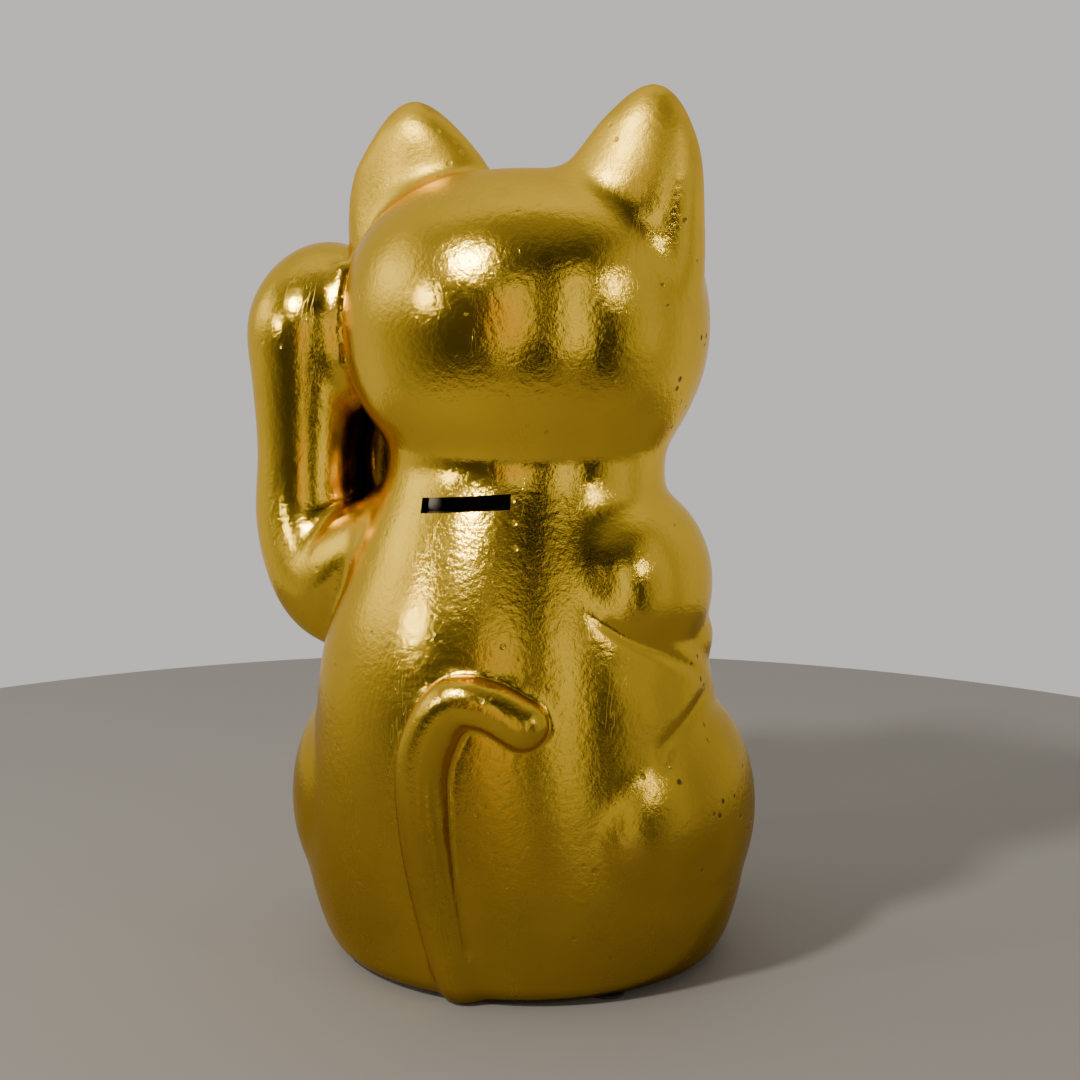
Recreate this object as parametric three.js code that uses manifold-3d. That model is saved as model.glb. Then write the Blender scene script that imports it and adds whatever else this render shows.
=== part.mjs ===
// Beckoning cat money bank: a gilded, slip-cast stoneware cat that sits upright with its left paw raised.
// The clay is cast hollow in three moulds (torso, head, raised arm) and luted together with slip. The tail
// and the coin plaque are pressed separately and luted on. Coins go in by a slot cut at the nape and come
// out by a hole in the base, which a soft stopper closes. The foot ring stands on four felt pads.
// Millimetres, +Z up. The cat faces -Y, and its left side is +X.
import * as THREE from "three";
import { mergeVertices } from "three/addons/utils/BufferGeometryUtils.js";
import Module from "manifold-3d";

const wasm = await Module();
wasm.setup();

// ---- driving dimensions -------------------------------------------------------------------------------
const figureHeight = 298; // ear tips above the foot ring
const figureWidth = 194; // right thigh to raised arm
const figureDepth = 172; // toes to the back of the tail
const wall = 5; // slip-cast wall
const joint = 0.4; // slip line between luted pieces

const footRing = 15; // width of the ring that the base stands on
const kickUp = 4; // height of the underside above the foot ring
const floorThickness = 6; // clay between the underside and the cavity
const ventBore = 14; // passage from the torso's cavity into the arm's

const slotLength = 32;
const slotHeight = 5;
const slotTilt = 4.5; // degrees, the right end higher
const slotReach = 30; // how far the cutter reaches through the wall
const slotCentre = [2.3, 50, 161.6]; // on the master model, at the nape

const stopperBore = 36;
const stopperClearance = 0.5; // on the diameter
const stopperLip = 4; // how far the flange reaches past the bore
const flangeThickness = 2;
const plugLength = 11; // above the flange
const plugWall = 3;

const plaqueWidth = 34;
const plaqueHeight = 52;
const plaqueThickness = 9;

const padDiameter = 12;
const padThickness = 1;

// The forms below are drawn at the size of the master model, then stretched to the figure's own size.
const master = new THREE.Vector3(194, 172, 298);
const stretch = new THREE.Vector3(figureWidth, figureDepth, figureHeight).divide(master);
const meanStretch = (stretch.x + stretch.y + stretch.z) / 3;

// ---- shaping tools ------------------------------------------------------------------------------------

// A closed three.js geometry as a manifold-3d solid.
function solid(geometry) {
  const bare = geometry.clone();
  for (const name of ["normal", "uv"]) bare.deleteAttribute(name);
  const merged = mergeVertices(bare, 1e-4);
  const shell = new wasm.Mesh({
    numProp: 3,
    vertProperties: merged.attributes.position.array,
    triVerts: new Uint32Array(merged.index.array),
  });
  return new wasm.Manifold(shell);
}

const union = (forms) => forms.map(solid).reduce((sum, form) => sum.add(form));

// Moves every vertex of a geometry with a function that changes the vector it is given.
function reshape(geometry, move) {
  const position = geometry.attributes.position;
  const point = new THREE.Vector3();
  for (let i = 0; i < position.count; i++) {
    point.fromBufferAttribute(position, i);
    move(point);
    position.setXYZ(i, point.x, point.y, point.z);
  }
  return geometry;
}

// A smooth skin over level oval sections, each [z, centre x, centre y, half width, half depth].
// grow moves the skin outwards by that much, or inwards where it is negative.
function loft(sections, grow, around, rings) {
  const centres = new THREE.CatmullRomCurve3(sections.map(([z, x, y]) => new THREE.Vector3(x, y, z)));
  const ovals = new THREE.CatmullRomCurve3(sections.map(([, , , w, d]) => new THREE.Vector3(w, d, 0)));
  const bottom = sections[0][0];
  const rise = 1 + grow / stretch.z / (sections.at(-1)[0] - bottom);
  const tube = new THREE.CylinderGeometry(1, 1, 1, around, rings);
  tube.rotateX(Math.PI / 2);
  return reshape(tube, (p) => {
    const centre = centres.getPoint(p.z + 0.5);
    const oval = ovals.getPoint(p.z + 0.5);
    const width = Math.max(oval.x + grow / stretch.x, 0.1);
    const depth = Math.max(oval.y + grow / stretch.y, 0.1);
    const height = bottom + (centre.z - bottom) * rise;
    p.set(centre.x + p.x * width, centre.y + p.y * depth, height).multiply(stretch);
  });
}

// An egg-shaped mass with the given half sizes, turned about the vertical by an angle in degrees.
function egg([x, y, z], [rx, ry, rz], turn, grow, around) {
  const ball = new THREE.SphereGeometry(1, around, around / 2);
  const swell = grow / meanStretch;
  ball.rotateX(Math.PI / 2);
  ball.scale(rx + swell, ry + swell, rz + swell);
  ball.rotateZ(THREE.MathUtils.degToRad(turn));
  ball.translate(x, y, z);
  ball.scale(stretch.x, stretch.y, stretch.z);
  return ball;
}

// A round limb with round ends along a smooth line. Each point is [x, y, z, radius].
function limb(points, grow, around, rings) {
  const line = new THREE.CatmullRomCurve3(points.map(([x, y, z]) => new THREE.Vector3(x, y, z)));
  const radii = new THREE.CatmullRomCurve3(points.map(([, , , r]) => new THREE.Vector3(r, 0, 0)));
  const length = line.getLength();
  const swell = grow / meanStretch;
  const frames = line.computeFrenetFrames(rings, false);
  const capsule = new THREE.CapsuleGeometry(1, length, 4, around, rings);
  return reshape(capsule, (p) => {
    const along = THREE.MathUtils.clamp(0.5 - p.y / length, 0, 1);
    const past = Math.min(length / 2 - p.y, 0) + Math.max(-length / 2 - p.y, 0);
    const t = line.getUtoTmapping(along);
    const radius = radii.getPoint(t).x + swell;
    const step = Math.round(along * rings);
    const { x, z } = p;
    p.copy(line.getPoint(t));
    p.addScaledVector(frames.normals[step], x * radius);
    p.addScaledVector(frames.binormals[step], z * radius);
    p.addScaledVector(frames.tangents[step], past * radius).multiply(stretch);
  });
}

// Everything between two heights, as a cutter that is wider than the figure.
function between(low, high) {
  const slab = new THREE.BoxGeometry(3 * figureWidth, 3 * figureDepth, high - low);
  return slab.translate(0, 0, (low + high) / 2);
}

// An upright round or oval prism standing on a height.
function prism(halfWidth, halfDepth, low, high, around) {
  const column = new THREE.CylinderGeometry(1, 1, high - low, around);
  return column.rotateX(Math.PI / 2).scale(halfWidth, halfDepth, 1).translate(0, 0, (low + high) / 2);
}

// ---- the torso's outside ------------------------------------------------------------------------------
const neckZ = 176;
const torsoSections = [
  [0, -2, 1, 69, 66],
  [4, -2, 1, 73.5, 69.5],
  [14, -2, 1, 78.5, 72],
  [32, -1, 1, 80.5, 73],
  [55, 0.5, 2, 77, 72],
  [80, 1, 4, 72, 69],
  [100, 1, 6, 69.5, 64.5],
  [120, 1, 7, 65, 59],
  [140, 0, 6, 58, 53],
  [155, -0.5, 5, 52.5, 48],
  [167, -1, 3, 48, 44],
  [neckZ, -1.2, 1, 46.3, 42.5],
];
const rightArmLine = [
  [-40, 6, 126, 22],
  [-45, -16, 108, 19],
  [-37, -46, 97, 16.5],
  [-22, -62, 97, 15],
];

function torsoForms(grow, detail) {
  const forms = [loft(torsoSections, grow, 20 * detail, 11 * detail)];
  for (const side of [1, -1]) {
    forms.push(egg([side * 49 + 1.5, 0, 51], [35.5, 52, 49], side * 6, grow, 10 * detail)); // thigh
    forms.push(egg([side * 36, -64, 13], [19, 25, 15], side * 8, grow, 8 * detail)); // hind foot
  }
  forms.push(egg([-38, 3, 131], [27.5, 34, 38], 0, grow, 10 * detail)); // right shoulder
  forms.push(egg([38, 3, 132], [28, 35, 36], 0, grow, 10 * detail)); // left shoulder
  forms.push(limb(rightArmLine, grow, 8 * detail, 7 * detail));
  return union(forms);
}

// ---- the head's outside -------------------------------------------------------------------------------
const headTurn = -6; // degrees that the face looks away from straight ahead
const crownZ = 272.5;
const headSections = [
  [neckZ, -1.2, 1, 46.3, 42.5],
  [182, -1, 0, 51.5, 48],
  [190, -0.5, -1, 57.5, 54],
  [202, 0, -2, 62.5, 58.5],
  [216, 0, -2, 64.8, 60.5],
  [230, 0, -2, 64, 59.5],
  [244, 0, -1, 60.5, 54],
  [256, 0, 0, 52, 45],
  [265, 0, 0, 40, 33],
  [270.5, 0, 0, 25, 20],
  [crownZ, 0, 0, 8, 6],
];
const earSections = [
  [232, 39, 0, 25, 24],
  [250, 38.5, 0, 27, 22],
  [264, 38.5, 1, 28, 18.5],
  [274, 39, 2, 26, 15.5],
  [281, 41, 2.5, 21.5, 13],
  [286.5, 42.5, 3, 17, 11],
  [291.5, 44, 3, 12.5, 8.5],
  [295.5, 45, 3, 7.5, 5.5],
  [298, 45.3, 3, 2.5, 2],
];

// Both ears, from the same sections. The left one stands further out and further forward.
const leftEarShift = [2, -8];

function ears(grow, detail) {
  const [outward, forward] = leftEarShift;
  const left = earSections.map(([z, x, y, ...rest]) => [z, x + outward, y + forward, ...rest]);
  const right = earSections.map(([z, x, ...rest]) => [z, -x - 1, ...rest]);
  return [left, right].map((sections) => loft(sections, grow, 10 * detail, 6 * detail));
}

function headForms(grow, detail) {
  const skull = loft(headSections, grow, 20 * detail, 10 * detail);
  const muzzle = egg([0, -50, 203], [24, 17, 14], 0, grow, 8 * detail);
  return union([skull, muzzle, ...ears(grow, detail)]).rotate([0, 0, headTurn]);
}

// The dished front of each ear, as the cutters that make it.
function earDishes() {
  const [outward, forward] = leftEarShift;
  const dish = (x, y) => egg([x, y, 270], [15, 10, 20], 0, 0, 16);
  return union([dish(42 + outward, -18 + forward), dish(-42, -18)]).rotate([0, 0, headTurn]);
}

// ---- the raised arm's and the tail's lines ------------------------------------------------------------
const armLine = [
  [40, 5, 135, 29],
  [60, 1, 127, 28],
  [75, -3, 129, 25],
  [86, -7, 147, 22],
  [87, -9, 172, 21],
  [87, -11, 198, 23.5],
  [87.5, -14, 218, 24.5],
  [86.5, -24, 227, 22],
  [85, -36, 225, 18],
];
const tailLine = [
  [-3, 64, 0, 8.8],
  [3, 70, 28, 8.8],
  [9, 73, 58, 8.5],
  [9, 74, 84, 8.3],
  [-1, 74, 101, 8.3],
  [-14, 73, 101, 8],
  [-25, 71, 93, 8],
];

// ---- cavities and cutters -----------------------------------------------------------------------------
const fine = 2; // facets on the outside, against 1 inside
const floorTop = kickUp + floorThickness;
const torsoTop = neckZ * stretch.z;
const [, neckX, neckY, neckWidth, neckDepth] = torsoSections.at(-1);
const neckPassage = prism(
  neckWidth * stretch.x - wall, neckDepth * stretch.y - wall, torsoTop - wall, torsoTop + wall, 20,
).translate(neckX * stretch.x, neckY * stretch.y, 0);

function coinSlot() {
  const cutter = new THREE.BoxGeometry(slotLength, slotReach, slotHeight);
  cutter.rotateY(THREE.MathUtils.degToRad(slotTilt));
  const centre = new THREE.Vector3(...slotCentre).multiply(stretch);
  return solid(cutter.translate(...centre));
}

function armVent() {
  const cutter = new THREE.CylinderGeometry(ventBore / 2, ventBore / 2, 40 * stretch.x, 12);
  cutter.rotateZ(Math.PI / 2);
  return solid(cutter.translate(58 * stretch.x, 2 * stretch.y, 128 * stretch.z));
}

const [[, baseX, baseY, baseWidth, baseDepth]] = torsoSections;
const base = {
  x: baseX * stretch.x,
  y: baseY * stretch.y,
  halfWidth: baseWidth * stretch.x,
  halfDepth: baseDepth * stretch.y,
};

function underside() {
  const recess = prism(base.halfWidth - footRing, base.halfDepth - footRing, -1, kickUp, 36);
  const bore = prism(stopperBore / 2, stopperBore / 2, -1, floorTop + 1, 36);
  return union([recess.translate(base.x, base.y, 0), bore]);
}

// ---- castings -----------------------------------------------------------------------------------------
function torso() {
  const outside = torsoForms(0, fine).intersect(solid(between(0, torsoTop)));
  const cavity = torsoForms(-wall, 1).intersect(solid(between(floorTop, torsoTop)));
  return outside.subtract(cavity).subtract(solid(neckPassage)).subtract(underside())
    .subtract(coinSlot()).subtract(armVent());
}

function head() {
  const above = solid(between(torsoTop + joint, 2 * figureHeight));
  const cavity = union([loft(headSections, -wall, 20, 10)]).rotate([0, 0, headTurn]);
  return headForms(0, fine).subtract(cavity).subtract(solid(neckPassage)).subtract(earDishes())
    .intersect(above);
}

function raisedArm() {
  const web = egg([64, -12, 165], [24, 8, 34], 0, 0, 14); // clay that fills the gap beside the neck
  const outside = union([limb(armLine, 0, 16, 24), web]);
  const cavity = union([limb(armLine, -wall, 8, 12)]);
  return outside.subtract(cavity).subtract(torsoForms(joint, fine)).subtract(headForms(joint, fine));
}

// The round coil of the tail, sunk about half into the back.
function tail() {
  const coil = union([limb(tailLine, 0, 10, 20)]);
  return coil.subtract(torsoForms(joint, fine)).intersect(solid(between(0, torsoTop)));
}

// An oval gold-coin plaque that the right paw holds against the belly.
function coinPlaque() {
  const outline = new THREE.Shape().absellipse(0, 0, plaqueWidth / 2, plaqueHeight / 2, 0, 2 * Math.PI);
  const bevel = 1.2;
  const plaque = new THREE.ExtrudeGeometry(outline, {
    depth: plaqueThickness - 2 * bevel,
    curveSegments: 16,
    bevelEnabled: true,
    bevelThickness: bevel,
    bevelSize: bevel,
    bevelOffset: -bevel,
    bevelSegments: 2,
  });
  plaque.rotateX(Math.PI / 2);
  plaque.rotateX(THREE.MathUtils.degToRad(-4));
  plaque.rotateY(THREE.MathUtils.degToRad(-12));
  plaque.translate(-2 * stretch.x, -64 * stretch.y, 74 * stretch.z);
  return solid(plaque).subtract(torsoForms(joint, fine));
}

// ---- loose and soft pieces ----------------------------------------------------------------------------

// A soft cup that plugs the bore from below. Its flange lies against the underside.
function coinStopper() {
  const seat = kickUp - joint;
  const plugRadius = (stopperBore - stopperClearance) / 2;
  const flangeRadius = stopperBore / 2 + stopperLip;
  const profile = [
    [0, seat - flangeThickness],
    [flangeRadius - 1, seat - flangeThickness],
    [flangeRadius, seat - flangeThickness + 1],
    [flangeRadius, seat],
    [plugRadius, seat],
    [plugRadius, seat + plugLength - 2],
    [plugRadius - 1.5, seat + plugLength],
    [plugRadius - plugWall, seat + plugLength],
    [plugRadius - plugWall, seat + 1],
    [0, seat + 1],
  ];
  const cup = new THREE.LatheGeometry(profile.map(([r, z]) => new THREE.Vector2(r, z)), 36);
  return solid(cup.rotateX(Math.PI / 2));
}

function feltPad(angle) {
  const x = base.x + (base.halfWidth - footRing / 2) * Math.cos(angle);
  const y = base.y + (base.halfDepth - footRing / 2) * Math.sin(angle);
  const pad = prism(padDiameter / 2, padDiameter / 2, -padThickness, -joint / 4, 24);
  return solid(pad.translate(x, y, 0));
}

// ---- assembly -----------------------------------------------------------------------------------------
const finish = (color, roughness, metalness) =>
  new THREE.MeshStandardMaterial({ color, roughness, metalness });

function mesh(name, form, material) {
  const { numProp, vertProperties, triVerts } = form.getMesh();
  const position = new Float32Array((vertProperties.length / numProp) * 3);
  for (let i = 0; i < position.length / 3; i++) {
    position.set(vertProperties.subarray(i * numProp, i * numProp + 3), i * 3);
  }
  const geometry = new THREE.BufferGeometry();
  geometry.setAttribute("position", new THREE.BufferAttribute(position, 3));
  geometry.setIndex(new THREE.BufferAttribute(triVerts, 1));
  geometry.computeVertexNormals();
  const made = new THREE.Mesh(geometry, material);
  made.name = name;
  return made;
}

const cat = new THREE.Group();
cat.add(mesh("torso", torso(), finish(0xd9a53a, 0.28, 1)));
cat.add(mesh("head", head(), finish(0xd9a53a, 0.25, 1)));
cat.add(mesh("raised_arm", raisedArm(), finish(0xd9a53a, 0.27, 1)));
cat.add(mesh("tail", tail(), finish(0xdcaa40, 0.3, 1)));
cat.add(mesh("coin_plaque", coinPlaque(), finish(0xe0b048, 0.24, 1)));
cat.add(mesh("coin_stopper", coinStopper(), finish(0xcfc8b8, 0.6, 0)));
for (let i = 0; i < 4; i++) {
  const angle = Math.PI / 4 + (i * Math.PI) / 2;
  cat.add(mesh(`felt_pad_${i + 1}`, feltPad(angle), finish(0x2b2a28, 0.95, 0)));
}

// The origin is on the table, under the middle of the figure's box.
const middle = new THREE.Box3().setFromObject(cat).getCenter(new THREE.Vector3());
cat.position.set(-middle.x, -middle.y, padThickness);

export default cat;
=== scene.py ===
# Beckoning cat coin bank in gilded stoneware, seen from behind. The clay forms are built up, joined and
# smoothed as one skin, as a potter does before the leaf goes on. The skin is then parted into the pieces
# that the bank is luted together from. Lengths are millimetres from the middle of the foot ring, +Z up.
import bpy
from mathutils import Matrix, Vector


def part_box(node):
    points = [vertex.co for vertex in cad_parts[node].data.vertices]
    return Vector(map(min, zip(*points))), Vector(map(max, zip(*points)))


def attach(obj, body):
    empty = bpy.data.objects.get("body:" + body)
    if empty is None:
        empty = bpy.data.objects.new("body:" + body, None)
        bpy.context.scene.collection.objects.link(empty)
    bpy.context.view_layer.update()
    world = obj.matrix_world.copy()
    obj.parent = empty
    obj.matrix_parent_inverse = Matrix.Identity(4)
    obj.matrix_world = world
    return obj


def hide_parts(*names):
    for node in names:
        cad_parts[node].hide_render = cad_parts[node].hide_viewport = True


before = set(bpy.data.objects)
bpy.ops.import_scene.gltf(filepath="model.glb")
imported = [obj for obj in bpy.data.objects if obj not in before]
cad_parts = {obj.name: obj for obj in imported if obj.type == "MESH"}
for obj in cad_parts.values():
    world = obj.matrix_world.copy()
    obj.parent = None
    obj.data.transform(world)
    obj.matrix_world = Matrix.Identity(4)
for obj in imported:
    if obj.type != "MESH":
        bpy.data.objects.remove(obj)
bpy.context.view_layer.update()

import math
import bpy
import numpy as np
from mathutils import Vector
from mathutils.bvhtree import BVHTree

# ---- camera --------------------------------------------------------------------------------------
# A camera at the height of the cat's cheeks, behind it and a little to its right, looking slightly down.
# It is placed from the axis of the stopper, which is the figure's own axis.
mm = 0.001
lower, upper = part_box("coin_stopper")
axis = Vector(((lower[0] + upper[0]) / 2, (lower[1] + upper[1]) / 2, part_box("torso")[0][2]))
side_angle = math.radians(20)
camera_distance = 0.600
camera_height = 0.2265
look_down = math.radians(7.77)
sideways = 0.0059
toward_camera = Vector((-math.sin(side_angle), math.cos(side_angle), 0))
rightward = Vector((-math.cos(side_angle), -math.sin(side_angle), 0))
looking = -toward_camera * math.cos(look_down) - Vector((0, 0, math.sin(look_down)))
bpy.ops.object.camera_add()
camera = bpy.context.object
camera.name = "camera"
camera.data.lens = 57.03
camera.data.clip_start = 0.02
camera.rotation_euler = looking.to_track_quat("-Z", "Y").to_euler()
camera.location = Vector((axis.x, axis.y, camera_height)) + toward_camera * camera_distance
camera.location += rightward * sideways
bpy.context.scene.camera = camera

# ---- studio --------------------------------------------------------------------------------------
# A round pale table top in a room with a pale wall all round, darker behind the camera, where soft panels
# and flags stand to give the mirror-bright leaf something to show. Three small lamps make the highlights.


class Wire:
    """One shader socket, with arithmetic that adds Math nodes."""

    def __init__(self, socket):
        self.socket = socket
        self.tree = socket.id_data

    def _math(self, operation, *values):
        node = self.tree.nodes.new("ShaderNodeMath")
        node.operation = operation
        for slot, value in zip(node.inputs, values):
            if isinstance(value, Wire):
                self.tree.links.new(value.socket, slot)
            else:
                slot.default_value = value
        return Wire(node.outputs[0])

    def __add__(self, other):
        return self._math("ADD", self, other)

    def __radd__(self, other):
        return self._math("ADD", other, self)

    def __sub__(self, other):
        return self._math("SUBTRACT", self, other)

    def __rsub__(self, other):
        return self._math("SUBTRACT", other, self)

    def __mul__(self, other):
        return self._math("MULTIPLY", self, other)

    def __rmul__(self, other):
        return self._math("MULTIPLY", other, self)

    def __truediv__(self, other):
        return self._math("DIVIDE", self, other)

    def __pow__(self, other):
        return self._math("POWER", self, other)

    def clamp(self):
        return self._math("MINIMUM", self._math("MAXIMUM", self, 0.0), 1.0)

    def over(self, low, high):
        """0 below low, 1 above high, straight between."""
        return ((self - low) / (high - low)).clamp()


class Palette:
    """The nodes of one material or world."""

    def __init__(self, owner):
        owner.use_nodes = True
        self.tree = owner.node_tree
        self.tree.nodes.clear()

    def node(self, kind, settings=None, out=0, **sockets):
        """Adds a node. A socket is named with _ for a space, or _N for its number."""
        node = self.tree.nodes.new("ShaderNode" + kind)
        for name, value in (settings or {}).items():
            setattr(node, name, value)
        for name, value in sockets.items():
            slot = node.inputs[int(name[1:]) if name[0] == "_" else name.replace("_", " ")]
            if isinstance(value, Wire):
                self.tree.links.new(value.socket, slot)
            else:
                slot.default_value = value
        return Wire(node.outputs[out]) if len(node.outputs) else None

    def mix(self, factor, first, second, blend="MIX"):
        settings = {"data_type": "RGBA", "blend_type": blend}
        return self.node("Mix", settings, 2, _0=factor, _6=first, _7=second)

    def split(self, vector):
        """A vector's three numbers."""
        node = self.tree.nodes.new("ShaderNodeSeparateXYZ")
        self.tree.links.new(vector.socket, node.inputs[0])
        return [Wire(socket) for socket in node.outputs]

    def noise(self, place, scale, detail=2.0, roughness=0.5):
        return self.node("TexNoise", Vector=place, Scale=scale, Detail=detail, Roughness=roughness)

    def finish(self, **sockets):
        """Ends a material with a Principled surface."""
        surface = self.node("BsdfPrincipled", **sockets)
        self.node("OutputMaterial", Surface=surface)


table_radius = 0.5
bpy.ops.object.select_all(action="DESELECT")
bpy.ops.mesh.primitive_circle_add(vertices=128, radius=table_radius, fill_type="NGON")
floor = bpy.context.object
floor.name = "floor"
floor.data.materials.append(bpy.data.materials.new("floor"))
Palette(floor.data.materials[0]).finish(Base_Color=(0.31, 0.29, 0.265, 1), Roughness=0.7)

room = bpy.data.worlds.new("room")
bpy.context.scene.world = room
sky = Palette(room)
east, north, height = sky.split(sky.node("TexCoord"))
flat_length = (east * east + north * north + 0.0001) ** 0.5


def facing(x, y):
    """The cosine between a compass direction and the one looked in."""
    return (east * (x / math.hypot(x, y)) + north * (y / math.hypot(x, y))) / flat_length


def panel(x, y, half_angle, low, high, soft=4):
    """1 inside a soft-edged panel that stands in the direction x, y and spans the heights low to high."""
    inner = math.cos(math.radians(half_angle))
    outer = math.cos(math.radians(half_angle + soft))
    edge = soft * 0.012
    level = height.over(low - edge, low + edge) * (1 - height.over(high - edge, high + edge))
    return facing(x, y).over(outer, inner) * level


# Each panel is its compass direction, half angle, lowest and highest height, soft edge, and light.
panels = [
    (0.95, 0.22, 10, 0.2, 0.5, 12, 1.5),
    (-0.70, 0.72, 8, -0.30, 0.50, 4, 0.95),
    (-0.17, 0.98, 13, -0.30, 0.46, 2, 0.80),
    (-0.98, 0.05, 14, -0.3, 0.7, 8, 0.35),
]
# Each flag is the same, but with the share of the light that it keeps off.
flags = [
    (-0.43, 0.90, 5, -0.8, 0.7, 3, 0.97),
    (-0.30, 0.95, 7, -0.55, -0.15, 2, 0.95),
    (-0.90, 0.42, 8, -0.6, 0.35, 4, 0.92),
]
dark_side = facing(toward_camera.x, toward_camera.y).over(-0.35, 0.55)
brightness = 0.60 - dark_side * 0.55
brightness = brightness + height.over(0.75, 1.0) * 0.3
for *stand, light in panels:
    brightness = brightness + panel(*stand) * light
for *stand, share in flags:
    brightness = brightness * (1 - panel(*stand) * share)
warmth = panel(-0.05, 1.0, 7, -0.14, 0.30, 4)
tint = sky.mix(warmth, (1.0, 0.965, 0.90, 1), (1.0, 0.70, 0.44, 1))
mirrored = sky.node("Background", Color=tint, Strength=brightness)
plain_wall = sky.node("Background", Color=(1.0, 0.97, 0.93, 1), Strength=0.66)
seen_straight = sky.node("LightPath")
wall_or_panels = sky.node("MixShader", _0=seen_straight, _1=mirrored, _2=plain_wall)
sky.node("OutputWorld", Surface=wall_or_panels)


def lamp(name, toward, distance, size, power):
    """A round lamp that faces the cat's chest from the given direction."""
    toward = Vector(toward).normalized()
    bpy.ops.object.light_add(type="AREA")
    light = bpy.context.object
    light.name = name
    light.data.shape = "DISK"
    light.data.size = size
    light.data.energy = power
    light.data.color = (1, 0.97, 0.9)
    light.location = axis + Vector((0, 0, 0.22)) + toward * distance
    light.rotation_euler = toward.to_track_quat("Z", "Y").to_euler()


lamp("main_lamp", (0.35, 0.70, 0.63), 1.3, 0.15, 12)
lamp("second_lamp", (0.69, 0.67, 0.26), 1.4, 0.11, 2.2)
lamp("side_lamp", (-0.89, 0.32, 0.32), 1.4, 0.10, 1.2)

# ---- clay: the whole figure's skin ---------------------------------------------------------------
# Slip-cast stoneware, drawn up here as the modeller of the master did: body, head and ears first, then
# the arms, then the tail. The joins are sponged round, and creases are pressed in with a tool.
fine_voxel = 1.25
head_turn = -6


def at(x, y, z):
    """A place in the frame, from millimetres on the figure."""
    return Vector((axis.x + x * mm, axis.y + y * mm, axis.z + z * mm))


def only(*objects):
    """Leaves object mode with just these selected, the first one active."""
    if bpy.context.object and bpy.context.object.mode != "OBJECT":
        bpy.ops.object.mode_set(mode="OBJECT")
    bpy.ops.object.select_all(action="DESELECT")
    for thing in objects:
        thing.select_set(True)
    bpy.context.view_layer.objects.active = objects[0]


def settle(thing):
    """Puts the object at the origin, with its place in its mesh."""
    only(thing)
    bpy.ops.object.transform_apply(location=True, rotation=True, scale=True)
    return thing


def finish(thing, kind, **settings):
    """Adds a modifier and applies it."""
    only(thing)
    bpy.ops.object.modifier_add(type=kind)
    modifier = thing.modifiers[-1]
    for name, value in settings.items():
        setattr(modifier, name, value)
    bpy.ops.object.modifier_apply(modifier=modifier.name)
    return thing


def copied(thing, name):
    """A copy with its own mesh."""
    twin = thing.copy()
    twin.data = thing.data.copy()
    twin.name = name
    bpy.context.collection.objects.link(twin)
    return twin


def joined(name, parts):
    """Puts several forms into one object."""
    only(*parts)
    if len(parts) > 1:
        bpy.ops.object.join()
    thing = bpy.context.object
    thing.name = name
    return thing


def cut(thing, operation, *tools, keep=False):
    """Cuts, keeps or adds with other closed forms, which are used up unless keep is set."""
    for tool in tools:
        finish(thing, "BOOLEAN", operation=operation, solver="MANIFOLD", object=tool)
        if not keep:
            bpy.data.objects.remove(tool)
    return thing


def between(points, steps):
    """Points on a smooth curve through all the given rows of numbers."""
    rows = np.array(points, float)
    rows = np.vstack([2 * rows[0] - rows[1], rows, 2 * rows[-1] - rows[-2]])
    out = []
    for i in range(1, len(rows) - 2):
        p0, p1, p2, p3 = rows[i - 1:i + 3]
        for k in range(steps):
            t = k / steps
            out.append(0.5 * (2 * p1 + (p2 - p0) * t + (2 * p0 - 5 * p1 + 4 * p2 - p3) * t * t
                              + (3 * p1 - p0 - 3 * p2 + p3) * t ** 3))
    out.append(rows[-2])
    return out


def ball(centre, half, turn=0):
    """A ball of clay pressed to three half sizes."""
    bpy.ops.mesh.primitive_uv_sphere_add(
        segments=40, ring_count=24, radius=1, location=at(*centre), scale=[h * mm for h in half],
        rotation=(0, 0, math.radians(turn)))
    return settle(bpy.context.object)


def block(low, high):
    """A square-edged block between two corners."""
    middle = [(a + b) / 2 for a, b in zip(low, high)]
    bpy.ops.mesh.primitive_cube_add(
        size=1, location=at(*middle), scale=[(b - a) * mm for a, b in zip(low, high)])
    return settle(bpy.context.object)


def drawn_up(sections, steps=4, grow=0, sides=64):
    """A form drawn up from a ring, through ovals [height, centre x, centre y, half x, half y]."""
    rows = between(sections, steps)
    rows = [(z, x, y, max(w + grow, 0.4), max(d + grow, 0.4)) for z, x, y, w, d in rows]
    z, x, y, wide, deep = rows[0]
    bpy.ops.mesh.primitive_circle_add(
        vertices=sides, radius=mm, fill_type="NGON", location=at(x, y, z))
    ring = bpy.context.object
    bpy.ops.object.mode_set(mode="EDIT")
    bpy.ops.mesh.select_all(action="SELECT")
    bpy.ops.transform.resize(value=(wide, deep, 1), center_override=at(x, y, z))
    for row in rows[1:]:
        step = (at(row[1], row[2], row[0]) - at(x, y, z))[:]
        bpy.ops.mesh.extrude_region_move(TRANSFORM_OT_translate={"value": step})
        bpy.ops.transform.resize(
            value=(row[3] / wide, row[4] / deep, 1), center_override=at(row[1], row[2], row[0]))
        z, x, y, wide, deep = row
    bpy.ops.mesh.select_all(action="SELECT")
    bpy.ops.mesh.normals_make_consistent(inside=False)
    return settle(ring)


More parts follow.
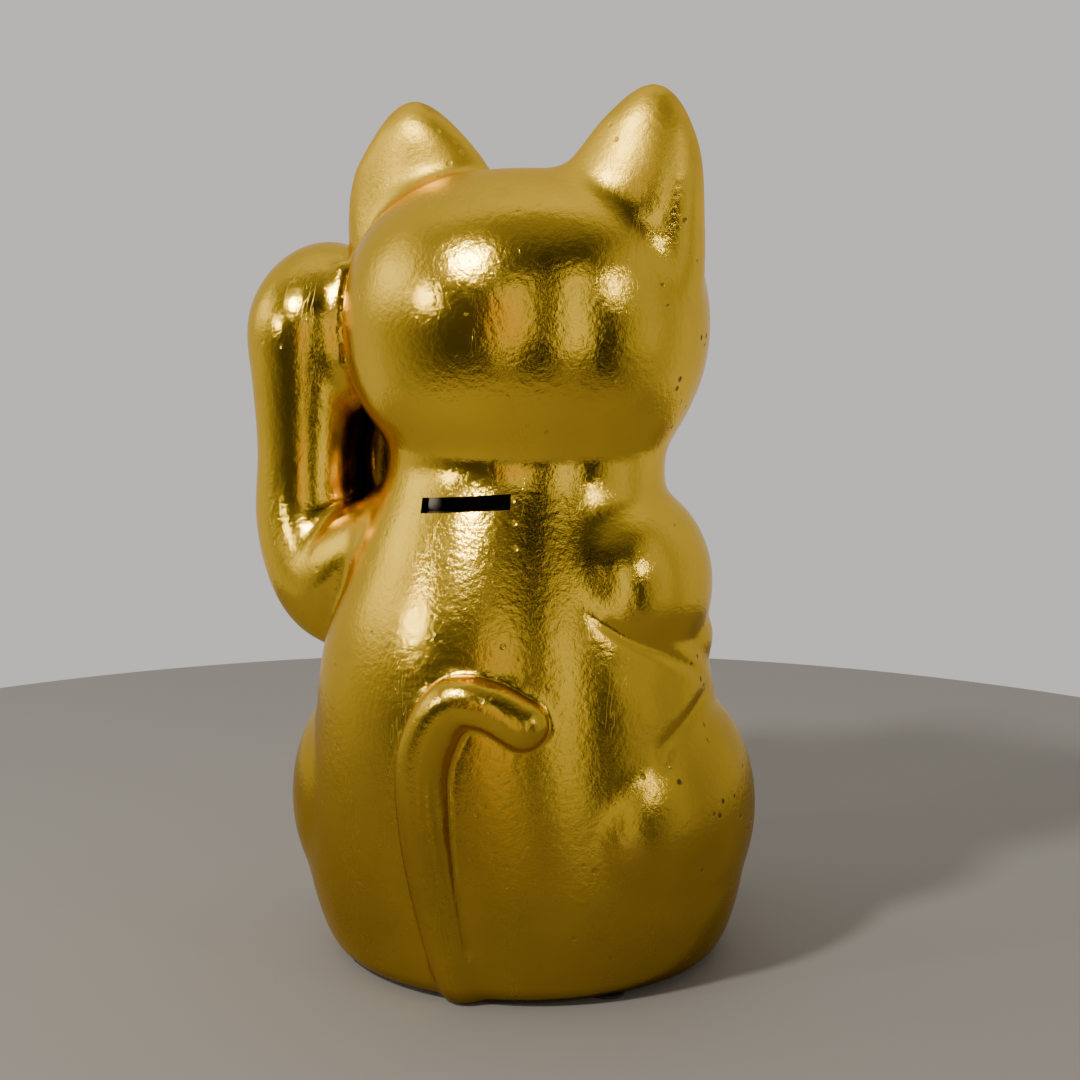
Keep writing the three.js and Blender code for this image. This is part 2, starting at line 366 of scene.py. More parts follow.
def rolled(points, grow=0, steps=6):
    """A coil of clay rolled along a smooth line, with round ends. Each point is [x, y, z, radius]."""
    rows = between(points, steps)
    curve = bpy.data.curves.new("coil", "CURVE")
    curve.dimensions = "3D"
    curve.bevel_depth = mm
    curve.bevel_resolution = 8
    curve.use_fill_caps = True
    line = curve.splines.new("POLY")
    line.points.add(len(rows) - 1)
    for point, (x, y, z, r) in zip(line.points, rows):
        point.co = (*at(x, y, z), 1)
        point.radius = r + grow
    coil = bpy.data.objects.new("coil", curve)
    bpy.context.collection.objects.link(coil)
    only(coil)
    bpy.ops.object.convert(target="MESH")
    coil = bpy.context.object
    ends = [ball(row[:3], [row[3] + grow] * 3) for row in (rows[0], rows[-1])]
    return joined("coil", [coil, *ends])


def turned(thing, degrees, about=(0, 0, 0), line="Z"):
    """Turns a form about an upright or level line through a place."""
    only(thing)
    bpy.ops.object.mode_set(mode="EDIT")
    bpy.ops.mesh.select_all(action="SELECT")
    bpy.ops.transform.rotate(
        value=-math.radians(degrees), orient_axis=line, orient_type="GLOBAL",
        center_override=at(*about))
    bpy.ops.object.mode_set(mode="OBJECT")
    return thing


def vertices(thing):
    """Every vertex's place in millimetres on the figure, and its normal."""
    count = len(thing.data.vertices)
    places = np.empty(count * 3, np.float32)
    normals = np.empty(count * 3, np.float32)
    thing.data.vertices.foreach_get("co", places)
    thing.data.vertices.foreach_get("normal", normals)
    return (places.reshape(-1, 3) - np.array(axis[:])) / mm, normals.reshape(-1, 3)


def place_vertices(thing, places):
    """Moves every vertex to a place in millimetres on the figure."""
    thing.data.vertices.foreach_set("co", (places * mm + np.array(axis[:])).astype(np.float32).ravel())
    thing.data.update()


def pressed(thing, line, width, depth, fade=0.2):
    """Presses a crease of a tool's width along a line on the surface, fading out at its ends."""
    surface = BVHTree.FromObject(thing, bpy.context.evaluated_depsgraph_get())
    stops = between(line, 24)
    marks = np.array([surface.find_nearest(at(*stop))[0][:] for stop in stops])
    marks = (marks - np.array(axis[:])) / mm
    along = np.linspace(0, 1, len(marks))
    press = np.clip(along / fade, 0, 1) * np.clip((1 - along) / fade, 0, 1)
    press = press * press * (3 - 2 * press)
    places, normals = vertices(thing)
    reach = 3 * width
    inside = (places > marks.min(0) - reach) & (places < marks.max(0) + reach)
    near = np.flatnonzero(np.all(inside, axis=1))
    apart = np.linalg.norm(places[near, None] - marks[None], axis=2)
    closest = apart.argmin(1)
    amount = depth * press[closest] * np.exp(-((apart.min(1) / width) ** 2))
    places[near] -= normals[near] * amount[:, None]
    place_vertices(thing, places)


def sponged(thing, centre, reach, times):
    """Smooths round a place, fading out at the given reach along x, y and z."""
    places, _ = vertices(thing)
    weight = np.exp(-(((places - np.array(centre)) / np.array(reach)) ** 2).sum(1))
    group = thing.vertex_groups.new(name="sponge")
    for index in np.flatnonzero(weight > 0.02):
        group.add([int(index)], float(weight[index]), "REPLACE")
    finish(thing, "SMOOTH", factor=0.5, iterations=times, vertex_group="sponge")
    thing.vertex_groups.remove(thing.vertex_groups["sponge"])


torso_sections = [
    (0, -1.6, 1, 67.2, 65.5),
    (4, -1.5, 1, 71, 68.5),
    (14, -1.2, 1, 75.3, 71.2),
    (32, -0.6, 1, 79.2, 73),
    (55, 0.5, 2, 77, 72),
    (80, 1, 4, 72, 69),
    (100, 1, 6, 69.5, 64.5),
    (120, 1, 7, 65, 59),
    (140, 0, 6, 58, 53),
    (155, -0.5, 5, 52.5, 48),
    (167, -1.5, 3, 49.5, 45),
    (176, -2, 1, 48.5, 44.5),
]
head_sections = [
    (176, -2, 1, 48.5, 44.5),
    (182, -1.5, 0, 52.5, 49),
    (190, -0.5, -1, 57.5, 54),
    (202, 0, -2, 62.5, 58.5),
    (216, 0, -2, 64.8, 60.5),
    (230, 0, -2, 64, 59.5),
    (244, 0, -1, 60.5, 54),
    (256, 0, 0, 52, 45),
    (265, 0, 0, 40, 33),
    (270.5, 0, 0, 25, 20),
    (272.5, 0, 0, 8, 6),
]
left_ear_sections = [
    (232, 45, -11, 28, 22),
    (250, 46.5, -12, 29.5, 20),
    (264, 46, -11, 29.5, 17),
    (274, 45.3, -9, 26.8, 14.5),
    (281, 45, -7.5, 22, 12.5),
    (286.5, 45, -6.5, 17.2, 11),
    (291.5, 45.4, -6, 12.6, 8.5),
    (295.5, 46, -6, 8, 5.5),
    (298.5, 46.5, -6, 3, 2),
]
right_ear_sections = [
    (222, -38, 0, 26, 26),
    (240, -39, 0, 27, 24),
    (258, -38, 1, 28.5, 20.5),
    (270, -41.5, 2, 25, 17),
    (279, -44.5, 2.5, 20.5, 13.5),
    (286, -46.5, 3, 16, 11),
    (291.5, -48, 3, 11.5, 8.5),
    (295.5, -49, 3, 7.5, 5.5),
    (298.5, -49.3, 3, 3, 2),
]
arm_line = [
    (40, 5, 135, 29),
    (60, 1, 127, 28),
    (75, -3, 129, 25),
    (86, -7, 147, 22),
    (87, -9, 172, 21),
    (86.5, -11, 198, 24),
    (86.5, -13, 218, 26),
    (86, -24, 228, 22.5),
    (85, -36, 225, 18),
]
right_arm_line = [
    (-40, 6, 126, 22),
    (-45, -16, 108, 19),
    (-37, -46, 97, 16.5),
    (-22, -62, 97, 15),
]
tail_line = [
    (-4, 60.9, 0, 8.2),
    (-1.5, 67.6, 13, 8.6),
    (1.8, 70.6, 30, 8.9),
    (6, 74, 58, 8.8),
    (6.3, 74.5, 82, 8.9),
    (-2.5, 74.5, 100, 8.9),
    (-15, 73.5, 101, 8.6),
    (-26.3, 71.5, 95.3, 8.8),
]
neck_height = 176


def torso_forms():
    forms = [drawn_up([*torso_sections, (182, -2, 1, 48, 44)])]
    forms.append(ball((50.5, 0, 51), (35.5, 52, 49), 6))
    forms.append(ball((-46, 3, 50), (36.5, 56, 49), -6))
    for side in (1, -1):
        forms.append(ball((side * 36, -64, 13), (19, 25, 15), side * 8))
    forms.append(ball((38, 3, 132), (28, 35, 36)))
    return forms


def right_arm_forms():
    shoulder = ball((-36, 6, 131), (33, 41.5, 37))
    elbow = ball((-43, -2, 112), (25, 28, 19))
    return [shoulder, elbow, rolled(right_arm_line)]


def head_forms():
    skull = drawn_up([(170, -2, 1, 46, 42), *head_sections])
    ears = [drawn_up(left_ear_sections), drawn_up(right_ear_sections)]
    muzzle = ball((0, -50, 203), (24, 17, 14))
    return [turned(form, head_turn) for form in (skull, *ears, muzzle)]


def arm_forms(grow=0):
    web = ball((64, -21, 166), (24 + grow, 8 + grow, 34 + grow))
    cheek_fill = rolled([(70, -2, 239, 4), (69, 1, 224, 6.5), (68, 1, 206, 7), (66, -7, 192, 6)], grow)
    return [rolled(arm_line, grow), web, cheek_fill]


skin = joined("skin", torso_forms() + head_forms())
finish(skin, "REMESH", mode="VOXEL", voxel_size=1.8 * mm)
finish(skin, "SMOOTH", factor=0.5, iterations=8)
sponged(skin, (38, 8, 262), (20, 14, 12), 110)
sponged(skin, (0, 0, neck_height + 1), (200, 200, 6.5), 45)
sponged(skin, (-52, 0, 246), (12, 26, 30), 60)
sponged(skin, (-20, 4, 268), (14, 30, 10), 50)
sponged(skin, (-38, 16, 258), (24, 14, 14), 60)

raised_arm_clay = joined("raised arm clay", arm_forms())
finish(raised_arm_clay, "REMESH", mode="VOXEL", voxel_size=1.8 * mm)
finish(raised_arm_clay, "SMOOTH", factor=0.5, iterations=6)
skin = joined("skin", [skin, raised_arm_clay, *right_arm_forms()])
finish(skin, "REMESH", mode="VOXEL", voxel_size=1.5 * mm)
finish(skin, "SMOOTH", factor=0.5, iterations=4)
dishes = [turned(ball(centre, (15, 10, 20)), head_turn) for centre in ((48, -29, 270), (-43, -20, 270))]
cut(skin, "DIFFERENCE", *dishes)
body_core = copied(skin, "body core")

skin = joined("skin", [skin, rolled(tail_line)])
finish(skin, "REMESH", mode="VOXEL", voxel_size=fine_voxel * mm)
cut(skin, "DIFFERENCE", block((-150, -150, -40), (150, 150, 0)))
finish(skin, "REMESH", mode="VOXEL", voxel_size=fine_voxel * mm)
finish(skin, "SMOOTH", factor=0.5, iterations=2)
finish(skin, "TRIANGULATE")

sponged(skin, (-28, 46, 142), (20, 16, 24), 160)
sponged(skin, (-46, 20, 162), (16, 24, 14), 60)

# Toes on the raised paw, the right paw and the feet.
for across in (-6, 6):
    paw = [(85 + across * 1.3, -46, 238), (85 + across, -53, 229), (85 + across, -53, 219)]
    pressed(skin, paw, 1.5, 1.6, 0.4)
for side in (1, -1):
    for across in (-6, 6):
        toe = side * 38 + across
        foot = [(side * 38 + across * 1.2, -80, 25), (toe, -88, 16), (toe, -88, 7)]
        pressed(skin, foot, 1.5, 1.6, 0.4)
for drop in (-5, 5):
    paw = [(-19, -76, 97 + drop * 1.2), (-11, -72, 97 + drop), (-8, -64, 97 + drop)]
    pressed(skin, paw, 1.4, 1.4, 0.4)

# The cheek against the forearm, then the folds under the right arm and above the right thigh.
pressed(skin, [(66, 0, 240), (65, 3, 222), (64, 3, 206), (62, 0, 192)], 1.4, 1.4, 0.15)
pressed(skin, [(-37, 50, 130), (-50, 40, 119), (-60, 25, 110), (-68, 2, 98)], 2.2, 1.3, 0.3)
pressed(skin, [(-44, 46, 112), (-57, 34, 105), (-66, 18, 97)], 8, 1.0, 0.4)
pressed(skin, [(-73, -6, 100), (-68, 16, 92), (-60, 32, 82), (-58, 36, 70)], 3.0, 1.3, 0.4)

# A crease down one side of the tail, round its tip and up the other side, where it meets the back.
tail_steps = 6
tail_run = np.array(between(tail_line, tail_steps))
run = np.gradient(tail_run[:, :3], axis=0)
run /= np.linalg.norm(run, axis=1)[:, None]
core_tree = BVHTree.FromObject(body_core, bpy.context.evaluated_depsgraph_get())
tail_sides = [[], []]
for (x, y, z, r), (along, _, up) in zip(tail_run[tail_steps::tail_steps], run[tail_steps::tail_steps]):
    body_y = (core_tree.ray_cast(at(x, 120, z), (0, -1, 0))[0].y - axis.y) / mm
    half = math.sqrt(max(r * r - (y - body_y) ** 2, 1))
    tail_sides[0].append((x - up * half, body_y, z + along * half))
    tail_sides[1].append((x + up * half, body_y, z - along * half))
tail_tip = (tail_run[-1, :3] + run[-1] * tail_run[-1, 3]) - np.array([0, 2, 0])
pressed(skin, [*tail_sides[0], tuple(tail_tip), *tail_sides[1][::-1]], 1.4, 0.9, 0.03)

# The soft valleys under the left shoulder and behind the left thigh.
pressed(skin, [(68, 5, 103), (58, 22, 122), (44, 32, 140)], 6, 2.5, 0.4)
pressed(skin, [(70, 8, 100), (72, 14, 80), (70, 20, 62)], 3.5, 2.0, 0.4)
only(skin)
bpy.ops.object.shade_smooth()

# ---- gold leaf -----------------------------------------------------------------------------------
# Leaf laid over the glaze: mirror bright, finely crinkled where it bridged the size, rubbed and scratched
# on the crown, nicked along the right side, and darker and browner toward the foot. Painted shade:
# near-black at the foot's edge and in the deep pocket.
leaf = bpy.data.materials.new("gold_leaf")
gild = Palette(leaf)
frame_place = gild.node("TexCoord", out=3)
place = gild.node("VectorMath", {"operation": "SUBTRACT"}, _0=frame_place, _1=axis[:])
x, y, z = gild.split(place)
crinkle = gild.noise(place, 480.0, 4.0, 0.62)
dents = gild.noise(place, 150.0, 2.0)
swell = gild.noise(place, 35.0, 1.0)
patches = gild.noise(place, 14.0, 3.0, 0.6)
smudges = gild.noise(place, 60.0, 4.0, 0.65)


def scratches(turn, scale, share):
    """Thin short scratches that run one way, in scattered patches: 1 on a scratch."""
    laid = gild.node("Mapping", Vector=place, Rotation=turn, Scale=(scale, scale * 0.15, scale * 0.15))
    streak = (gild.noise(laid, 1.0, 0.0) - 0.5) * 45.0
    bare = gild.noise(laid, 0.12, 1.0)
    return (1 - (streak * streak).clamp()) * bare.over(share, share + 0.05)


scratched = (scratches((0.3, 0.9, 0.4), 700, 0.64) + scratches((1.2, 0.2, 2.0), 600, 0.66)).clamp()
nick_cells = gild.node("TexVoronoi", {"feature": "F1"}, Vector=place, Scale=170.0)
nick_patch = gild.noise(place, 45.0, 3.0, 0.7)
right_edge = ((-0.035 - x) / 0.03).clamp()
nicks = (1 - nick_cells.over(0.10, 0.20)) * nick_patch.over(0.57, 0.61) * (0.25 + right_edge * 0.75)
# Darker and browner toward the bottom, in random patches, and a little along the right side.
low_down = 1 - z.over(0.06, 0.15)
darker_tone = (low_down * 0.8 + (patches - 0.5) * 0.9 + right_edge * 0.15).clamp()
# Dark nicks and worn ear tips, and painted shade along the bottom 6 mm of the foot.
nick_wear_and_foot_shade = (1 - z.over(0.0, 0.006)) * 0.7 + nicks * 0.9
ears = z.over(0.256, 0.272)
nick_wear_and_foot_shade = nick_wear_and_foot_shade + z.over(0.286, 0.298) * nick_patch.over(0.42, 0.6) * 0.5
# Painted shade: the deep pocket between the raised forearm and the neck is painted near-black, standing in
# for its shadow.
pocket_shade_centre = (0.062, -0.008, 0.172)
pocket_shade_half = (0.017, 0.016, 0.022)
pocket_x, pocket_y, pocket_z = [
    (along - middle) / half for along, middle, half in zip((x, y, z), pocket_shade_centre, pocket_shade_half)]
pocket_shade = 1 - (pocket_x * pocket_x + pocket_y * pocket_y + pocket_z * pocket_z).over(0.55, 1.3)
bright_gold = (0.84, 0.545, 0.045, 1)
dark_brown_gold = (0.40, 0.25, 0.022, 1)
rubbed_gold = (0.50, 0.31, 0.05, 1)
# Near-black, for the nicks and worn tips and for the painted shade.
nick_and_shade_black = (0.05, 0.022, 0.007, 1)
color = gild.mix(darker_tone, bright_gold, dark_brown_gold)
color = gild.mix(smudges.over(0.55, 0.8) * 0.35, color, rubbed_gold)
# Mixes in the dark nicks and worn ear tips, and the painted shade at the foot's edge and in the neck
# pocket.
color = gild.mix((nick_wear_and_foot_shade + pocket_shade * 0.9).clamp(), color, nick_and_shade_black)
roughness = 0.16 + (smudges - 0.5) * 0.10 + darker_tone * 0.12 + ears * 0.26
roughness = roughness + scratched * 0.15 + nicks * 0.4
relief = crinkle * 0.6 + dents * 0.4 + swell * 0.6 - scratched * 0.1 - nicks * 2.0
normal = gild.node("Bump", Strength=0.45, Distance=0.0006, Height=relief)
gild.finish(
    Base_Color=color, Metallic=(1 - nicks * 0.8).clamp(), Roughness=roughness, Normal=normal,
    Specular_Tint=(1.0, 0.86, 0.58, 1))

clay = bpy.data.materials.new("bare_clay")
body = Palette(clay)
place = body.node("TexCoord", out=3)
grain = body.noise(place, 900.0, 3.0, 0.6)
stain = body.noise(place, 40.0, 3.0)
color = body.mix(stain, (0.62, 0.55, 0.45, 1), (0.46, 0.38, 0.28, 1))
color = body.mix(grain.over(0.6, 0.75) * 0.5, color, (0.25, 0.18, 0.12, 1))
normal = body.node("Bump", Strength=0.3, Distance=0.0004, Height=grain)
body.finish(Base_Color=color, Roughness=0.85, Normal=normal)

# ---- hollow, coin slot and underside -------------------------------------------------------------
# What the slip leaves open: one cavity through the body, head and arm, 5 mm inside the skin. The slot is
# cut through the nape with a wire while the clay is leather hard, and the underside is turned out.
wall = 5
floor_top = 10
kick_up = 4
hollow = copied(body_core, "hollow")
finish(hollow, "REMESH", mode="VOXEL", voxel_size=3 * mm)
finish(hollow, "SMOOTH", factor=0.5, iterations=4)
finish(hollow, "DISPLACE", strength=-wall * mm, mid_level=0)
finish(hollow, "REMESH", mode="VOXEL", voxel_size=3 * mm)
cut(hollow, "DIFFERENCE", block((-150, -150, -40), (150, 150, floor_top)))

slot_centre = (2.3, 50, 161.6)
slot_half = (16, 15, 2.5)
slot_sides = list(zip(slot_centre, slot_half))
slot = block([middle - half for middle, half in slot_sides], [middle + half for middle, half in slot_sides])
slot_tilt = 4.5
turned(slot, slot_tilt, slot_centre, "Y")
recess = drawn_up([
    (-3, -2, 1, 54.5, 51.5),
    (0.5, -2, 1, 54.5, 51.5),
    (3, -2, 1, 53.5, 50.5),
    (kick_up, -2, 1, 51, 48),
])
bore_radius = 18
bore = drawn_up([
    (-3, 0, 0, bore_radius, bore_radius),
    (floor_top + 2, 0, 0, bore_radius, bore_radius),
], 1, sides=96)


# ---- torso, head, raised arm and tail ------------------------------------------------------------
# The four castings. Each is the part of the skin that its mould makes, less the hollow; they are luted
# with slip at the neck, the shoulder and the tail, and the seams are sponged away before the leaf goes on.
skin_tree = BVHTree.FromObject(skin, bpy.context.evaluated_depsgraph_get())
skin_corners = [polygon.vertices[:] for polygon in skin.data.polygons]
skin_places = [vertex.co.copy() for vertex in skin.data.vertices]
skin_normals = [vertex.normal.copy() for vertex in skin.data.vertices]
skin_gap = 0.03


def largest(thing):
    """Keeps the biggest of a form's separate bodies."""
    only(thing)
    bpy.ops.object.mode_set(mode="EDIT")
    bpy.ops.mesh.select_all(action="SELECT")
    bpy.ops.mesh.separate(type="LOOSE")
    bpy.ops.object.mode_set(mode="OBJECT")
    bodies = sorted(bpy.context.selected_objects, key=lambda body: len(body.data.vertices))
    for body in bodies[:-1]:
        bpy.data.objects.remove(body)
    return bodies[-1]


def leaf_normal(place):
    """The skin's own normal at a place on it, or None off the skin."""
    touch, _, index, gap = skin_tree.find_nearest(place)
    if gap > skin_gap * mm:
        return None
    total = Vector()
    for corner in skin_corners[index]:
        total += skin_normals[corner] / ((skin_places[corner] - touch).length + 1e-7)
    return total.normalized()


def gilded(thing, name):
    """Lays leaf on the outside and leaves bare clay inside, with the whole skin's shading outside."""
    thing.name = f"gilded_{name}"
    mesh = thing.data
    mesh.materials.clear()
    mesh.materials.append(leaf)
    mesh.materials.append(clay)
    only(thing)
    bpy.ops.object.shade_smooth_by_angle(angle=math.radians(35))
    normals = [leaf_normal(vertex.co) for vertex in mesh.vertices]
    loop_normals = [(0, 0, 0)] * len(mesh.loops)
    inside = np.ones(len(mesh.polygons), np.int32)
    for polygon in mesh.polygons:
        x, y, z = (polygon.center - axis) / mm
        in_slot = abs(x - slot_centre[0]) < slot_half[0] + 1 and abs(z - slot_centre[2]) < 5 and y > 40
        if all(normals[corner] for corner in polygon.vertices) and leaf_normal(polygon.center):
            for loop in polygon.loop_indices:
                loop_normals[loop] = normals[mesh.loops[loop].vertex_index][:]
            inside[polygon.index] = polygon.normal.z < -0.9 and z < 0.5
        elif in_slot:
            inside[polygon.index] = 0
    mesh.polygons.foreach_set("material_index", inside)
    mesh.normals_split_custom_set(loop_normals)
    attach(thing, "figure")
    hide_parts(name)
    return thing


body_zone = joined("body zone", torso_forms() + head_forms())
finish(body_zone, "REMESH", mode="VOXEL", voxel_size=2 * mm)
finish(body_zone, "DISPLACE", strength=-2 * mm, mid_level=0)
arm_zone = joined("arm zone", arm_forms(2.5))
finish(arm_zone, "REMESH", mode="VOXEL", voxel_size=2 * mm)
cut(arm_zone, "DIFFERENCE", body_zone)
arm_zone = largest(arm_zone)
tail_zone = rolled(tail_line, 1.0)
finish(tail_zone, "REMESH", mode="VOXEL", voxel_size=1 * mm)
tail_seat = finish(copied(body_core, "tail seat"), "DISPLACE", strength=-0.8 * mm, mid_level=0)
cut(tail_zone, "DIFFERENCE", tail_seat)
tail_zone = largest(tail_zone)
above = block((-150, -150, neck_height), (150, 150, 400))
below = block((-150, -150, -50), (150, 150, neck_height))

torso = cut(copied(skin, "torso"), "DIFFERENCE", above, arm_zone, tail_zone, hollow, keep=True)
gilded(largest(cut(torso, "DIFFERENCE", slot, recess, bore)), "torso")
head = cut(copied(skin, "head"), "DIFFERENCE", below, arm_zone, hollow, keep=True)
gilded(largest(head), "head")
raised_arm = cut(copied(skin, "raised arm"), "INTERSECT", arm_zone)
gilded(largest(cut(raised_arm, "DIFFERENCE", hollow)), "raised_arm")
gilded(largest(cut(copied(skin, "tail"), "INTERSECT", tail_zone)), "tail")
for spare in (above, below):
    bpy.data.objects.remove(spare)

# ---- coin plaque ---------------------------------------------------------------------------------
# An oval plaque of pressed clay, gilded with the rest: a rim, and rows of hammer marks across the
# face. It is luted to the belly, and the right paw holds its top.
plaque_centre = (-2, -66.5, 74)
bpy.ops.mesh.primitive_cylinder_add(
    vertices=96, radius=mm, depth=9 * mm, location=at(*plaque_centre), rotation=(math.pi / 2, 0, 0))
plaque = settle(bpy.context.object)
bpy.ops.object.mode_set(mode="EDIT")
bpy.ops.mesh.select_all(action="SELECT")
bpy.ops.transform.resize(value=(17, 1, 26), center_override=at(*plaque_centre))
bpy.ops.object.mode_set(mode="OBJECT")
for face in plaque.data.polygons:
    face.select = face.normal.y < -0.9
bpy.ops.object.mode_set(mode="EDIT")
bpy.ops.mesh.inset(thickness=2.2 * mm)
bpy.ops.mesh.extrude_region_move(TRANSFORM_OT_translate={"value": (0, 1.7 * mm, 0)})
bpy.ops.object.mode_set(mode="OBJECT")
finish(plaque, "REMESH", mode="VOXEL", voxel_size=0.55 * mm)
finish(plaque, "SMOOTH", factor=0.5, iterations=3)
row_pitch = 3.2
for row in range(-6, 7):
    half = 13.5 * math.sqrt(1 - (row * row_pitch / 23.5) ** 2) - 1.5
    level = plaque_centre[2] + row * row_pitch
    pressed(plaque, [(-2 - half, -68, level), (-2, -68, level), (-2 + half, -68, level)], 0.9, 0.7, 0.1)
turned(plaque, -10, plaque_centre, "X")
turned(plaque, -12, plaque_centre, "Y")
cut(plaque, "DIFFERENCE", body_core, keep=True)
plaque = largest(plaque)
plaque.name = "gilded_plaque"
plaque.data.materials.clear()
plaque.data.materials.append(leaf)
only(plaque)
bpy.ops.object.shade_smooth_by_angle(angle=math.radians(50))
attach(plaque, "figure")
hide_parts("coin_plaque")

# ---- coin stopper --------------------------------------------------------------------------------
# A soft moulded cup that is pushed up into the hole in the underside. A grip ring on its flange lets
# a finger nail pull it out. Each profile row is its height and radius.
stopper_profile = [
    (1.6, 0.4), (1.6, 7.4), (2.0, 7.9), (2.6, 8.1), (2.6, 10.4), (2.0, 10.6), (1.6, 11.1), (1.6, 20.6),
    (1.75, 21.3), (2.1, 21.8), (2.6, 22.0), (3.2, 21.9), (3.6, 21.5), (3.6, 17.9), (4.0, 17.5), (7.6, 17.5),
    (7.9, 17.75), (8.4, 17.75), (8.7, 17.5), (12.6, 17.4), (13.6, 16.9), (14.4, 15.9), (14.6, 15.4),
    (14.4, 14.8), (13.8, 14.6), (5.2, 14.6), (4.7, 14.3), (4.6, 13.6), (4.6, 0.4),
]
stopper = drawn_up([(z, 0, 0, radius, radius) for z, radius in stopper_profile], 1, sides=128)
stopper.name = "coin_stopper_cup"
only(stopper)
bpy.ops.object.shade_smooth_by_angle(angle=math.radians(40))
soft = bpy.data.materials.new("soft_stopper")
cup = Palette(soft)
place = cup.node("TexCoord", out=3)
bloom = cup.noise(place, 90.0, 3.0)
pores = cup.noise(place, 1400.0, 2.0)
color = cup.mix(bloom, (0.60, 0.57, 0.50, 1), (0.70, 0.68, 0.62, 1))
normal = cup.node("Bump", Strength=0.15, Distance=0.0002, Height=pores)
cup.finish(Base_Color=color, Roughness=0.45 + bloom * 0.2, Normal=normal)
stopper.data.materials.append(soft)
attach(stopper, "stopper")
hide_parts("coin_stopper")

# ---- felt pads -----------------------------------------------------------------------------------
# Four discs punched from black wool felt, a millimetre thick, with their edges frayed round a little.
# They are stuck under the foot ring, one to each quarter.
felt = bpy.data.materials.new("black_felt")
wool = Palette(felt)
place = wool.node("TexCoord", out=3)
fibres = wool.noise(place, 1500.0, 4.0, 0.7)
dust = wool.noise(place, 300.0, 2.0)
color = wool.mix(fibres, (0.012, 0.011, 0.010, 1), (0.06, 0.055, 0.05, 1))
color = wool.mix(dust.over(0.62, 0.75) * 0.4, color, (0.16, 0.14, 0.12, 1))
normal = wool.node("Bump", Strength=0.6, Distance=0.0003, Height=fibres)
wool.finish(Base_Color=color, Roughness=0.95, Normal=normal)
for number in range(1, 5):
    low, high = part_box(f"felt_pad_{number}")
    x, y = [((low[i] + high[i]) / 2 - axis[i]) / mm for i in (0, 1)]
    pad = drawn_up([
        (-0.97, x, y, 5.3, 5.3),
        (-0.85, x, y, 5.85, 5.85),
        (-0.5, x, y, 6, 6),
        (-0.12, x, y, 5.9, 5.9),
    ], 3)
    pad.name = f"felt_disc_{number}"
    only(pad)
    bpy.ops.object.shade_smooth_by_angle(angle=math.radians(50))
    pad.data.materials.append(felt)
    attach(pad, "figure")
    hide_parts(f"felt_pad_{number}")

# ---- painted face --------------------------------------------------------------------------------
# Lacquer brushed on over the leaf, a film a fraction of a millimetre thick: black eyes, brows, whiskers
# and mouth, and a red nose and inner ears. Each shape is an outline seen from the front.
film = 0.15


def brushed(line, width, tip=0.35):
    """The outline of one brush stroke along x, z points, thick in the middle."""
    rows = np.array(between(line, 8))
    along = np.linspace(-1, 1, len(rows))
    half = width / 2 * (tip + (1 - tip) * (1 - along ** 2))
    run = np.gradient(rows, axis=0)
    across = np.stack([-run[:, 1], run[:, 0]], 1) / np.linalg.norm(run, axis=1)[:, None]
    return [*(rows + across * half[:, None]), *(rows - across * half[:, None])[::-1]]


def oval(x, z, wide, high, turn=0.0, sides=40):
    """A turned oval's outline along x, z points."""
    turn = math.radians(turn)
    out = []
    for k in range(sides):
        u = wide * math.cos(2 * math.pi * k / sides)
        v = high * math.sin(2 * math.pi * k / sides)
        x_out = x + u * math.cos(turn) - v * math.sin(turn)
        out.append((x_out, z + u * math.sin(turn) + v * math.cos(turn)))
    return out


def laid_on(outlines, near, far):
    """Pushes outlines through the front of the head, between two depths, as separate closed forms."""
    forms = []
    for outline in outlines:
        mesh = bpy.data.meshes.new("outline")
        mesh.from_pydata([at(x, near, z) for x, z in outline], [], [range(len(outline))])
        form = bpy.data.objects.new("outline", mesh)
        bpy.context.collection.objects.link(form)
        only(form)
        bpy.ops.object.mode_set(mode="EDIT")
        bpy.ops.mesh.select_all(action="SELECT")
        bpy.ops.mesh.extrude_region_move(TRANSFORM_OT_translate={"value": (0, (far - near) * mm, 0)})
        bpy.ops.mesh.select_all(action="SELECT")
        bpy.ops.mesh.normals_make_consistent(inside=False)
        bpy.ops.object.mode_set(mode="OBJECT")
        forms.append(form)
    return turned(joined("outlines", forms), head_turn)


coat = copied(skin, "coat")
finish(coat, "DISPLACE", strength=film * mm, mid_level=0)


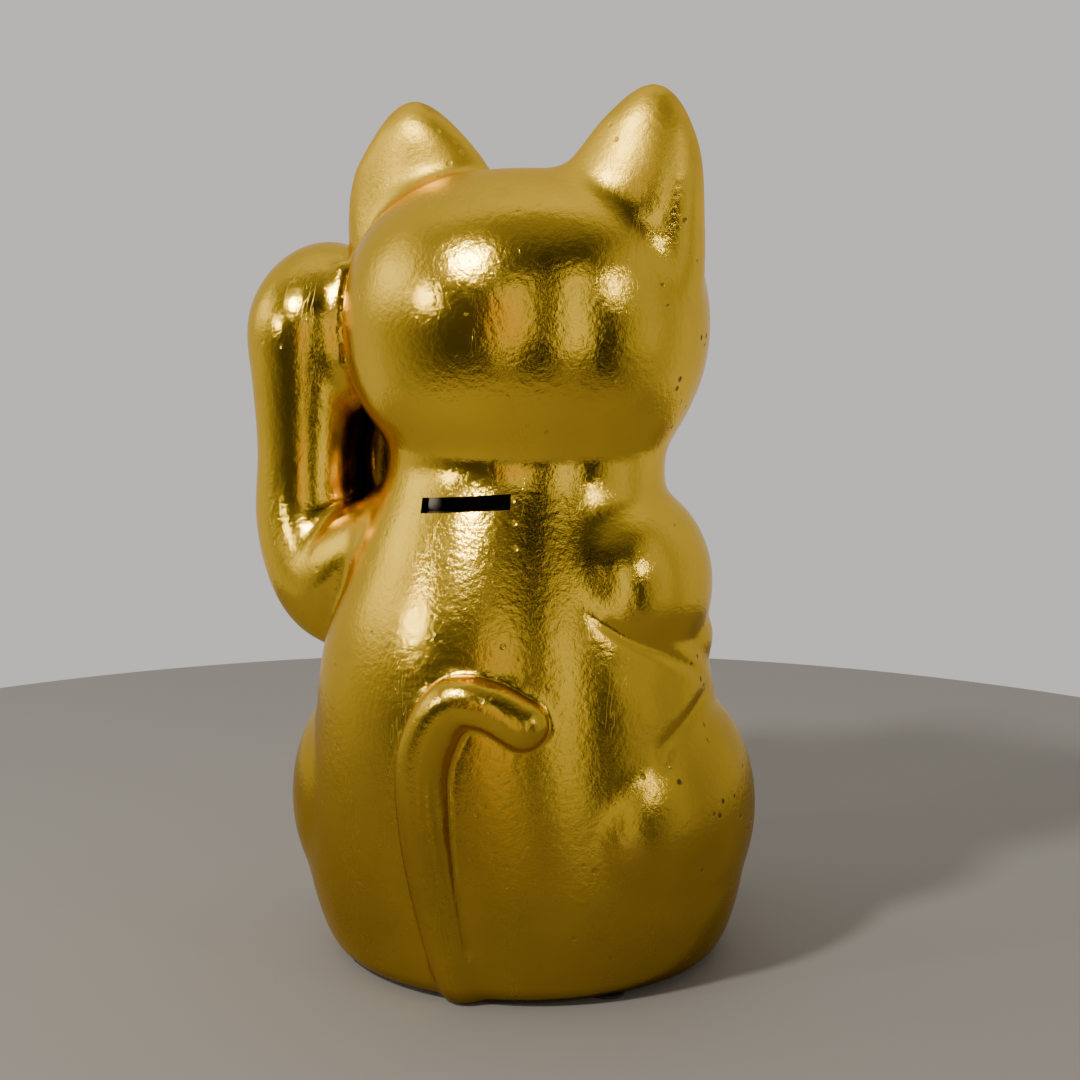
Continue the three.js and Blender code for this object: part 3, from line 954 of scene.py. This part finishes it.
def painted(name, forms, finish_name, color):
    """Keeps the film between the skin and the coat, and gives it its lacquer."""
    cut(forms, "INTERSECT", coat, keep=True)
    cut(forms, "DIFFERENCE", skin, keep=True)
    forms.name = name
    lacquer = bpy.data.materials.new(finish_name)
    brush = Palette(lacquer)
    place = brush.node("TexCoord", out=3)
    drag = brush.noise(place, 260.0, 3.0, 0.6)
    shade = brush.mix(drag, color, tuple(c * 0.6 for c in color[:3]) + (1,))
    normal = brush.node("Bump", Strength=0.2, Distance=0.0002, Height=drag)
    brush.finish(Base_Color=shade, Roughness=0.22 + drag * 0.2, Normal=normal)
    forms.data.materials.clear()
    forms.data.materials.append(lacquer)
    only(forms)
    bpy.ops.object.shade_smooth_by_angle(angle=math.radians(40))
    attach(forms, "figure")


eyes = []
for side in (1, -1):
    upper_lid = [(side * 14.5, 224.5), (side * 19, 230), (side * 26, 232.5), (side * 34.5, 229.5)]
    lower_lid = [(side * 16, 223), (side * 21, 219.5), (side * 27, 219.5), (side * 32, 223.5)]
    eyes.append(brushed(upper_lid, 3.0))
    eyes.append(brushed(lower_lid, 1.2))
    eyes.append(oval(side * 24.8, 226.2, 4.4, 5.6))
    eyes.append(brushed([(side * 19, 242.5), (side * 26, 245.5), (side * 33, 243.5)], 1.8))
lamp_black = (0.012, 0.010, 0.009, 1)
vermilion = (0.42, 0.03, 0.02, 1)
painted("painted_eyes", laid_on(eyes, -110, -25), "black_lacquer", lamp_black)
lines = [brushed([(0, 206.5), (0, 201.5)], 1.3, 0.8)]
for side in (1, -1):
    lines.append(brushed([(side * 0.2, 201.8), (side * 5, 198), (side * 11, 200.5)], 1.5))
    for inner, outer in [(213, 219), (208.5, 210), (204, 201)]:
        whisker = [(side * 33, inner), (side * 42, (inner + outer) / 2 + 1), (side * 52, outer)]
        lines.append(brushed(whisker, 1.2))
painted("painted_whiskers", laid_on(lines, -110, -25), "black_line_lacquer", lamp_black)
nose = [brushed([(-4.6, 209.4), (0, 208.4), (4.6, 209.4)], 5.0, 0.25)]
painted("painted_nose", laid_on(nose, -110, -30), "red_lacquer", vermilion)
inner_ears = laid_on([oval(45, 268, 10, 15.5, 8), oval(-45, 268, 10, 15.5, -8)], -60, -2)
painted("painted_inner_ears", inner_ears, "red_ear_lacquer", vermilion)

for spare in (coat, skin, body_core):
    bpy.data.objects.remove(spare)
